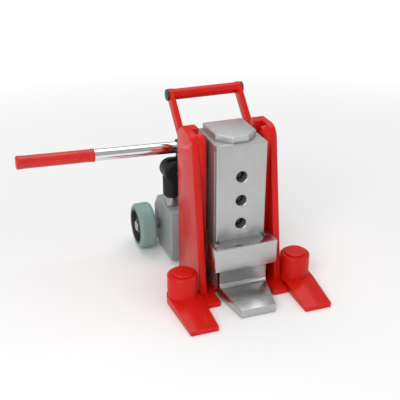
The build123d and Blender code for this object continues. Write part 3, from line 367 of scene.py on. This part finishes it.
def spunPart(points, centre, direction, steps, closed=False):
    # a shape of revolution; points are (radius, distance along the axis)
    shape = bmesh.new()
    corners = [shape.verts.new((radius, 0.0, along)) for radius, along in points]
    pairs = list(zip(corners, corners[1:]))
    if closed:
        pairs.append((corners[-1], corners[0]))
    edges = [shape.edges.new(pair) for pair in pairs]
    bmesh.ops.spin(shape, geom=corners + edges, cent=(0, 0, 0), axis=(0, 0, 1), dvec=(0, 0, 0),
                   angle=2 * pi, steps=steps, use_merge=True, use_duplicate=False)
    bmesh.ops.remove_doubles(shape, verts=shape.verts[:], dist=weldReach)
    turn = Vector(direction).to_track_quat("Z", "X").to_matrix().to_4x4()
    bmesh.ops.transform(shape, matrix=Matrix.Translation(centre) @ turn, verts=shape.verts[:])
    return shape


def joinShapes(target, extra):
    scratch = bpy.data.meshes.new("scratch")
    extra.to_mesh(scratch)
    extra.free()
    target.from_mesh(scratch)
    bpy.data.meshes.remove(scratch)


def arcPoints(radius, along, reach, start, end, count):
    # points of a rounded corner in a (radius, along) profile
    return [(radius + reach * cos(radians(start + (end - start) * i / count)),
             along + reach * sin(radians(start + (end - start) * i / count))) for i in range(count + 1)]


def bevelSharp(shape, width, segments=2, over=30.0):
    sharp = [e for e in shape.edges if e.is_manifold and e.calc_face_angle(0.0) > radians(over)]
    bmesh.ops.bevel(shape, geom=sharp, offset=width, offset_type="OFFSET", segments=segments, profile=0.5,
                    affect="EDGES", clamp_overlap=True, material=-1)


def boxOf(node):
    low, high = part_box(node)
    return low, high, (low + high) / 2


def jointNamed(name):
    return [joint for joint in frame["joints"] if joint["name"] == name][0]


def halfAcross(node):
    # radius of a round node that lies along X
    low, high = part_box(node)
    return (high.z - low.z) / 2


# softened plates and castings
softEdges = {
    "side_plate_left": 0.0009, "side_plate_right": 0.0009,
    "handle_arm_left": 0.0008, "handle_arm_right": 0.0008,
    "guide_strips_left": 0.0008, "guide_strips_right": 0.0008,
    "base_rail_left": 0.0009, "base_rail_right": 0.0009,
    "casing": 0.0005, "head_plate": 0.0006, "claw": 0.0006,
    "foot_left": 0.0014, "foot_right": 0.0014,
    "tank": 0.0006, "tank_cover": 0.0003, "pump_head": 0.0008, "rocker": 0.0006,
}
softMerge = {"reach": 2e-6, "flatUnder": 0.8}  # metres; degrees
for node, width in softEdges.items():
    shape = bmesh.new()
    shape.from_mesh(nodes[node].data)
    bmesh.ops.remove_doubles(shape, verts=shape.verts[:], dist=softMerge["reach"])
    bmesh.ops.dissolve_limit(shape, angle_limit=radians(softMerge["flatUnder"]), verts=shape.verts[:],
                             edges=shape.edges[:])
    bevelSharp(shape, width)
    words = node.split("_")
    closePiece(shape, "soft" + "".join(word.capitalize() for word in words), node, hides=(node,))
print("softened pieces:", len(softEdges))

# springs: each coil is copied as it stands into a piece of its own, with its own mesh;
# the joint, held end and spare listed with each are not used
springShape = {
    "return_spring": {"name": "returnCoil", "joint": "lift_slide", "heldEnd": "top", "spare": 0.005},
    "plunger_spring": {"name": "plungerCoil", "joint": "plunger_stroke", "heldEnd": "bottom", "spare": 0.01},
}
for node, coil in springShape.items():
    low, high, middle = boxOf(node)
    shape = bmesh.new()
    shape.from_mesh(nodes[node].data)
    piece = closePiece(shape, coil["name"], node, hides=(node,))
    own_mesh(piece)
print("springs made:", len(springShape))

# lever grip
gripShape = {"mouthRound": 0.0007, "lipLong": 0.006, "lipRamp": 0.002, "waist": 0.0006, "endRound": 0.0035,
             "endSwell": 0.009, "endSwellRamp": 0.003, "endThick": 0.004,
             "rings": 5, "firstRing": 0.012, "ringStep": 0.0045, "ringDeep": 0.00045, "ringWide": 0.0020,
             "ringFloor": (0.3, 0.7), "steps": 64}
low, high, middle = boxOf("lever_grip")
leverWay = Vector(jointNamed("lever_pull")["axis"]).normalized()
gripRadius = (high.y - low.y) / 2
gripHalf = ((high.x - low.x) - 2 * gripRadius * abs(leverWay.z)) / abs(leverWay.x) / 2
tubeLow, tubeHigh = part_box("lever_tube")
boreRadius = (tubeHigh.y - tubeLow.y) / 2
skin = gripRadius - gripShape["waist"]
groove = skin - gripShape["ringDeep"]
mouthRound, endRound = gripShape["mouthRound"], gripShape["endRound"]
profile = [(boreRadius, -gripHalf)]
profile += arcPoints(gripRadius - mouthRound, -gripHalf + mouthRound, mouthRound, -90, 0, 3)
profile += [(gripRadius, -gripHalf + gripShape["lipLong"]),
            (skin, -gripHalf + gripShape["lipLong"] + gripShape["lipRamp"])]
for ring in range(gripShape["rings"]):
    start = -gripHalf + gripShape["firstRing"] + ring * gripShape["ringStep"]
    floorStart, floorEnd = [start + share * gripShape["ringWide"] for share in gripShape["ringFloor"]]
    profile += [(skin, start), (groove, floorStart), (groove, floorEnd),
                (skin, start + gripShape["ringWide"])]
profile += [(skin, gripHalf - gripShape["endSwell"] - gripShape["endSwellRamp"]),
            (gripRadius, gripHalf - gripShape["endSwell"])]
profile += arcPoints(gripRadius - endRound, gripHalf - endRound, endRound, 0, 90, 6)
endInside = gripHalf - gripShape["endThick"]
profile += [(0.0, gripHalf), (0.0, endInside), (boreRadius, endInside)]
grip = spunPart(profile, middle, leverWay, gripShape["steps"], closed=True)
closePiece(grip, "gripSleeve", "lever_grip", hides=("lever_grip",))
print("grip made")

# carry bar end caps
capShape = {"dome": 0.0013, "rim": 0.0008, "footRound": 0.0003, "footUp": 0.0004, "sink": 0.0003,
            "domeStart": 0.6, "domeTop": 0.25, "rimSpan": (20, 80), "steps": 48}
low, high, middle = boxOf("bar_caps")
capRadius, capThick = (high.y - low.y) / 2, high.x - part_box("handle_arm_right")[1].x
rim, wall = capShape["rim"], capThick - capShape["dome"] - capShape["rim"]
profile = [(0.0, 0.0), (capRadius - capShape["footRound"], 0.0), (capRadius, capShape["footUp"]),
           (capRadius, wall)]
profile += arcPoints(capRadius - rim, wall, rim, *capShape["rimSpan"], 4)
profile += [(capRadius * capShape["domeStart"], capThick - capShape["sink"]),
            (capRadius * capShape["domeTop"], capThick), (0.0, capThick)]
plugs = bmesh.new()
for sign in (-1, 1):
    foot = (sign * (high.x - capThick), middle.y, middle.z)
    joinShapes(plugs, spunPart(profile, foot, (sign, 0, 0), capShape["steps"]))
closePiece(plugs, "carryBarPlugs", "bar_caps", hides=("bar_caps",))
print("bar plugs made")

# wheels
wheelShape = {"shoulder": 0.0075, "shoulderTurn": 88, "wallDip": 0.0008, "partingLine": 0.0001,
              "partingHalf": 0.0006, "beadWide": 0.0018, "beadRound": 0.0008, "beadChamfer": 0.001,
              "ringThick": 0.0040, "ringLip": 0.0007, "webHalf": 0.004, "webDraft": 0.0015,
              "barrelSetIn": 0.004, "barrelTop": 0.0148, "barrelRound": 0.0155, "barrelFoot": 0.0175,
              "spokes": 6, "spokeThick": 0.0040, "spokeSetIn": 0.0035, "spokeRoot": 0.0150,
              "spokeTaper": (0.72, 0.85, 1.0), "spokeEdge": 0.0008, "steps": 96}


def treadProfile(rimRadius, treadRadius, halfWide):
    reach, dip, turn = wheelShape["shoulder"], wheelShape["wallDip"], wheelShape["shoulderTurn"]
    line, half = wheelShape["partingLine"], wheelShape["partingHalf"]
    foot = [(rimRadius, halfWide - wheelShape["beadChamfer"]),
            (rimRadius + wheelShape["beadRound"], halfWide),
            (rimRadius + wheelShape["beadWide"], halfWide - dip)]
    points = [(radius, -along) for radius, along in foot]
    points += arcPoints(treadRadius - reach, -halfWide + reach, reach, -turn, 0, 8)
    points += [(treadRadius, -half), (treadRadius - line, 0.0), (treadRadius, half)]
    points += arcPoints(treadRadius - reach, halfWide - reach, reach, 0, turn, 8)
    return points + foot[::-1]


def hubProfile(rimRadius, bushRadius, halfWide, hubHalf):
    inside, lip, web = rimRadius - wheelShape["ringThick"], wheelShape["ringLip"], wheelShape["webHalf"]
    outer = [(rimRadius, halfWide - lip), (rimRadius - lip, halfWide), (inside + lip, halfWide),
             (inside, halfWide - lip), (inside - wheelShape["webDraft"], web),
             (wheelShape["barrelFoot"], web), (wheelShape["barrelRound"], hubHalf - lip),
             (wheelShape["barrelTop"], hubHalf), (bushRadius, hubHalf)]
    return [(radius, -along) for radius, along in outer] + outer[::-1]


def spokeAt(number, long, hubHalf, middle):
    spoke = bmesh.new()
    bmesh.ops.create_cube(spoke, size=1.0)
    wide = 2 * (hubHalf - wheelShape["spokeSetIn"])
    bmesh.ops.scale(spoke, vec=(wide, wheelShape["spokeThick"], long), verts=spoke.verts[:])
    bmesh.ops.scale(spoke, vec=wheelShape["spokeTaper"], verts=[v for v in spoke.verts if v.co.z > 0])
    bmesh.ops.translate(spoke, vec=(0, 0, wheelShape["barrelTop"] + long / 2), verts=spoke.verts[:])
    bevelSharp(spoke, wheelShape["spokeEdge"])
    turn = Matrix.Rotation(2 * pi * number / wheelShape["spokes"], 3, "X")
    bmesh.ops.rotate(spoke, cent=(0, 0, 0), matrix=turn, verts=spoke.verts[:])
    bmesh.ops.translate(spoke, vec=middle, verts=spoke.verts[:])
    return spoke


for side, sign in sides:
    low, high, middle = boxOf(f"wheel_tyre_{side}")
    treadRadius, halfWide = (high.z - low.z) / 2, (high.x - low.x) / 2
    rimRadius, bushRadius = halfAcross(f"wheel_hub_{side}"), halfAcross(f"wheel_bush_{side}")
    tread = spunPart(treadProfile(rimRadius, treadRadius, halfWide), middle, (sign, 0, 0),
                     wheelShape["steps"], closed=True)
    closePiece(tread, f"tread{side.capitalize()}", f"wheel_tyre_{side}", hides=(f"wheel_tyre_{side}",))

    hubHalf = halfWide - wheelShape["barrelSetIn"]
    hub = spunPart(hubProfile(rimRadius, bushRadius, halfWide, hubHalf), middle, (sign, 0, 0),
                   wheelShape["steps"], closed=True)
    spokeLong = rimRadius - wheelShape["ringThick"] - wheelShape["spokeRoot"]
    for number in range(wheelShape["spokes"]):
        joinShapes(hub, spokeAt(number, spokeLong, hubHalf, middle))
    closePiece(hub, f"spokedHub{side.capitalize()}", f"wheel_hub_{side}", hides=(f"wheel_hub_{side}",))
print("wheels made")

# axle end caps
lockShape = {"thick": 0.003, "edge": 0.0016, "wall": 0.0011, "footChamfer": 0.0004, "mouth": 0.0006,
             "mouthDeep": 0.0005, "steps": 48}
high, middle = boxOf("axle_caps")[1:]
lockRadius, axleRadius = halfAcross("axle_caps"), halfAcross("axle")
edge, lockThick = lockShape["edge"], lockShape["thick"]
profile = [(axleRadius, 0.0), (lockRadius - lockShape["footChamfer"], 0.0),
           (lockRadius, lockShape["footChamfer"]), (lockRadius, lockShape["wall"])]
profile += arcPoints(lockRadius - edge, lockThick - edge, edge, 0, 90, 5)
profile += [(axleRadius + lockShape["mouth"], lockThick), (axleRadius, lockThick - lockShape["mouthDeep"])]
caps = bmesh.new()
for sign in (-1, 1):
    foot = (sign * (high.x - lockThick), middle.y, middle.z)
    joinShapes(caps, spunPart(profile, foot, (sign, 0, 0), lockShape["steps"], closed=True))
closePiece(caps, "axleLockCaps", "axle_caps", hides=("axle_caps",))

# foot pin caps
pinShape = {"pinRadius": 0.012, "discThick": 0.004, "footChamfer": 0.0004, "edge": 0.0014, "crown": 0.0006,
            "crownStart": 0.0002, "crownWide": 0.55, "crownTop": 0.25, "edgeTurn": 80, "steps": 72}
for side, sign in sides:
    low, high, middle = boxOf(f"foot_pin_{side}")
    discRadius, top, edge = (high.x - low.x) / 2, high.z, pinShape["edge"]
    discLow = top - pinShape["discThick"]
    profile = [(0.0, low.z), (pinShape["pinRadius"], low.z), (pinShape["pinRadius"], discLow),
               (discRadius - pinShape["footChamfer"], discLow),
               (discRadius, discLow + pinShape["footChamfer"])]
    profile += arcPoints(discRadius - edge, top - pinShape["crown"] - edge, edge, 0, pinShape["edgeTurn"], 5)
    profile += [(discRadius * pinShape["crownWide"], top - pinShape["crownStart"]),
                (discRadius * pinShape["crownTop"], top), (0.0, top)]
    pin = spunPart(profile, (middle.x, middle.y, 0), (0, 0, 1), pinShape["steps"])
    closePiece(pin, f"footPinCap{side.capitalize()}", f"foot_pin_{side}", hides=(f"foot_pin_{side}",))
print("caps made")

# weld beads, at the arms' roots, round the bar's ends and along the foot of each side plate
weldShape = {"bead": 0.0022, "ringBead": 0.0014, "ringSink": 0.0005, "rootLong": 0.032,
             "footLong": 0.040, "footStart": 0.003, "beadSides": 12, "endRound": 0.5, "endSteps": 3,
             "endOver": 60.0, "ringSpan": 330, "ringSides": 11, "ringSteps": 64}


def roundBead(radius, long):
    # one short weld bead along Z with rounded ends
    bead = bmesh.new()
    bmesh.ops.create_cone(bead, cap_ends=True, segments=weldShape["beadSides"],
                          radius1=radius, radius2=radius, depth=long)
    bevelSharp(bead, radius * weldShape["endRound"], weldShape["endSteps"], weldShape["endOver"])
    return bead


barLow, barHigh, barMiddle = boxOf("carry_bar")
barRadius = (barHigh.z - barLow.z) / 2
bead = weldShape["bead"]
ringProfile = arcPoints(barRadius - weldShape["ringSink"], 0.0, weldShape["ringBead"],
                        0, weldShape["ringSpan"], weldShape["ringSides"])
for side, sign in sides:
    armLow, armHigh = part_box(f"handle_arm_{side}")
    plateLow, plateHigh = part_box(f"side_plate_{side}")
    beads = bmesh.new()
    barEnd = (sign * min(abs(armLow.x), abs(armHigh.x)), barMiddle.y, barMiddle.z)
    joinShapes(beads, spunPart(ringProfile, barEnd, (sign, 0, 0), weldShape["ringSteps"], closed=True))
    for x in (armLow.x, armHigh.x):
        root = roundBead(bead, weldShape["rootLong"])
        rootMiddle = (x, plateHigh.y, armLow.z + weldShape["rootLong"] / 2)
        bmesh.ops.translate(root, vec=rootMiddle, verts=root.verts[:])
        joinShapes(beads, root)
    run = roundBead(bead, weldShape["footLong"])
    bmesh.ops.rotate(run, cent=(0, 0, 0), matrix=Matrix.Rotation(pi / 2, 3, "X"), verts=run.verts[:])
    innerFace = sign * min(abs(plateLow.x), abs(plateHigh.x))
    runMiddle = (innerFace, plateLow.y + weldShape["footStart"] + weldShape["footLong"] / 2, plateLow.z)
    bmesh.ops.translate(run, vec=runMiddle, verts=run.verts[:])
    joinShapes(beads, run)
    closePiece(beads, f"weldBeads{side.capitalize()}", f"handle_arm_{side}")
print("welds made")

# filler plug
plugShape = {"collar": 0.003, "collarEdge": 0.0006, "collarFoot": 0.0003, "hexEdge": 0.0007, "steps": 48}
low, high, middle = boxOf("filler_plug")
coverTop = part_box("tank_cover")[1].z
collarRadius, collarTop = (high.y - low.y) / 2, coverTop + plugShape["collar"]
shankRadius, edge = collarRadius - plugShape["collar"], plugShape["collarEdge"]
profile = [(0.0, low.z), (shankRadius, low.z), (shankRadius, coverTop),
           (collarRadius - plugShape["collarFoot"], coverTop)]
profile += arcPoints(collarRadius - edge, collarTop - edge, edge, 0, 90, 4) + [(0.0, collarTop)]
plug = spunPart(profile, (middle.x, middle.y, 0), (0, 0, 1), plugShape["steps"])
hexHead = bmesh.new()
hexTall = high.z - collarTop
bmesh.ops.create_cone(hexHead, cap_ends=True, segments=6, radius1=shankRadius, radius2=shankRadius,
                      depth=hexTall)
bevelSharp(hexHead, plugShape["hexEdge"])
bmesh.ops.translate(hexHead, vec=(middle.x, middle.y, high.z - hexTall / 2), verts=hexHead.verts[:])
joinShapes(plug, hexHead)
closePiece(plug, "fillerPlugHex", "filler_plug", hides=("filler_plug",))
print("filler plug made")

# stage, light and camera
stageLook = {"floor": (0.93, 0.93, 0.93), "floorHalf": 12.0, "floorDrop": 0.0004,
             "farFloor": 1.0, "nearReach": 0.55, "farReach": 1.5,
             "world": (1.0, 1.0, 1.0), "worldPower": 0.44, "backdropPower": 1.0,
             "floorRough": 0.75, "floorGloss": 0.2}
floorShape = bmesh.new()
bmesh.ops.create_grid(floorShape, x_segments=1, y_segments=1, size=stageLook["floorHalf"])
floorMesh = bpy.data.meshes.new("studioFloor")
floorShape.to_mesh(floorMesh)
floorShape.free()
floor = bpy.data.objects.new("studioFloor", floorMesh)
bpy.context.scene.collection.objects.link(floor)
floor.location.z = cadLow.z - stageLook["floorDrop"]
floorFinish, tree, shader, coords = newFinish("paleFloor")
shader.inputs["Base Color"].default_value = (*stageLook["floor"], 1.0)
shader.inputs["Roughness"].default_value = stageLook["floorRough"]
shader.inputs["Specular IOR Level"].default_value = stageLook["floorGloss"]
# away from the object the floor gives its own light, so that it stays pale up to the backdrop
distance = tree.nodes.new("ShaderNodeVectorMath")
distance.operation = "LENGTH"
tree.links.new(coords.outputs["Object"], distance.inputs[0])
glow = remap(tree, distance.outputs["Value"], stageLook["nearReach"], stageLook["farReach"], 0.0, 1.0)
paleGlow = tree.nodes.new("ShaderNodeEmission")
paleGlow.inputs["Strength"].default_value = stageLook["farFloor"]
blend = tree.nodes.new("ShaderNodeMixShader")
tree.links.new(glow, blend.inputs[0])
tree.links.new(shader.outputs["BSDF"], blend.inputs[1])
tree.links.new(paleGlow.outputs["Emission"], blend.inputs[2])
tree.links.new(blend.outputs["Shader"], tree.nodes["Material Output"].inputs["Surface"])
floorMesh.materials.append(floorFinish)

world = bpy.data.worlds.new("softStudio")
world.use_nodes = True
roomLight = world.node_tree.nodes["Background"]
roomLight.inputs["Color"].default_value = (*stageLook["world"], 1.0)
roomLight.inputs["Strength"].default_value = stageLook["worldPower"]
backdrop = world.node_tree.nodes.new("ShaderNodeBackground")  # what shows behind the floor's edge
backdrop.inputs["Color"].default_value = (*stageLook["world"], 1.0)
backdrop.inputs["Strength"].default_value = stageLook["backdropPower"]
rayKind = world.node_tree.nodes.new("ShaderNodeLightPath")
choose = world.node_tree.nodes.new("ShaderNodeMixShader")
world.node_tree.links.new(rayKind.outputs["Is Camera Ray"], choose.inputs[0])
world.node_tree.links.new(roomLight.outputs["Background"], choose.inputs[1])
world.node_tree.links.new(backdrop.outputs["Background"], choose.inputs[2])
world.node_tree.links.new(choose.outputs["Shader"], world.node_tree.nodes["World Output"].inputs["Surface"])
bpy.context.scene.world = world

softboxes = {
    "keySoftbox": {"place": (-1.3, -1.5, 1.5), "target": (0, 0, 0.15), "size": (1.4, 1.4), "power": 27.0},
    "fillSoftbox": {"place": (1.6, -1.2, 0.9), "target": (0, 0, 0.15), "size": (1.2, 1.6), "power": 6.0},
    "topSoftbox": {"place": (0.1, 0.6, 2.0), "target": (0, 0, 0.1), "size": (1.8, 1.8), "power": 18.0},
}
for name, box in softboxes.items():
    lamp = bpy.data.lights.new(name, "AREA")
    lamp.shape = "RECTANGLE"
    lamp.size, lamp.size_y = box["size"]
    lamp.energy = box["power"]
    holder = bpy.data.objects.new(name, lamp)
    bpy.context.scene.collection.objects.link(holder)
    holder.location = box["place"]
    way = Vector(box["target"]) - Vector(box["place"])
    holder.rotation_euler = way.to_track_quat("-Z", "Y").to_euler()
bpy.context.scene.view_settings.view_transform = "Standard"

cameraSet = {"place": (-0.5178, -1.2512, 0.8223), "azimuth": -19.98, "elevation": 25.65, "lens": 69.03,
             "sensor": 36.0, "clip": (0.05, 50.0)}
lens = bpy.data.cameras.new("studioCamera")
lens.lens = cameraSet["lens"]
lens.sensor_width = cameraSet["sensor"]
camera = bpy.data.objects.new("studioCamera", lens)
bpy.context.scene.collection.objects.link(camera)
turn, lift = radians(cameraSet["azimuth"]), radians(cameraSet["elevation"])
camera.location = cameraSet["place"]
viewWay = -Vector((sin(turn) * cos(lift), -cos(turn) * cos(lift), sin(lift)))
camera.rotation_euler = viewWay.to_track_quat("-Z", "Y").to_euler()
lens.clip_start, lens.clip_end = cameraSet["clip"]
bpy.context.scene.camera = camera
print("stage made")
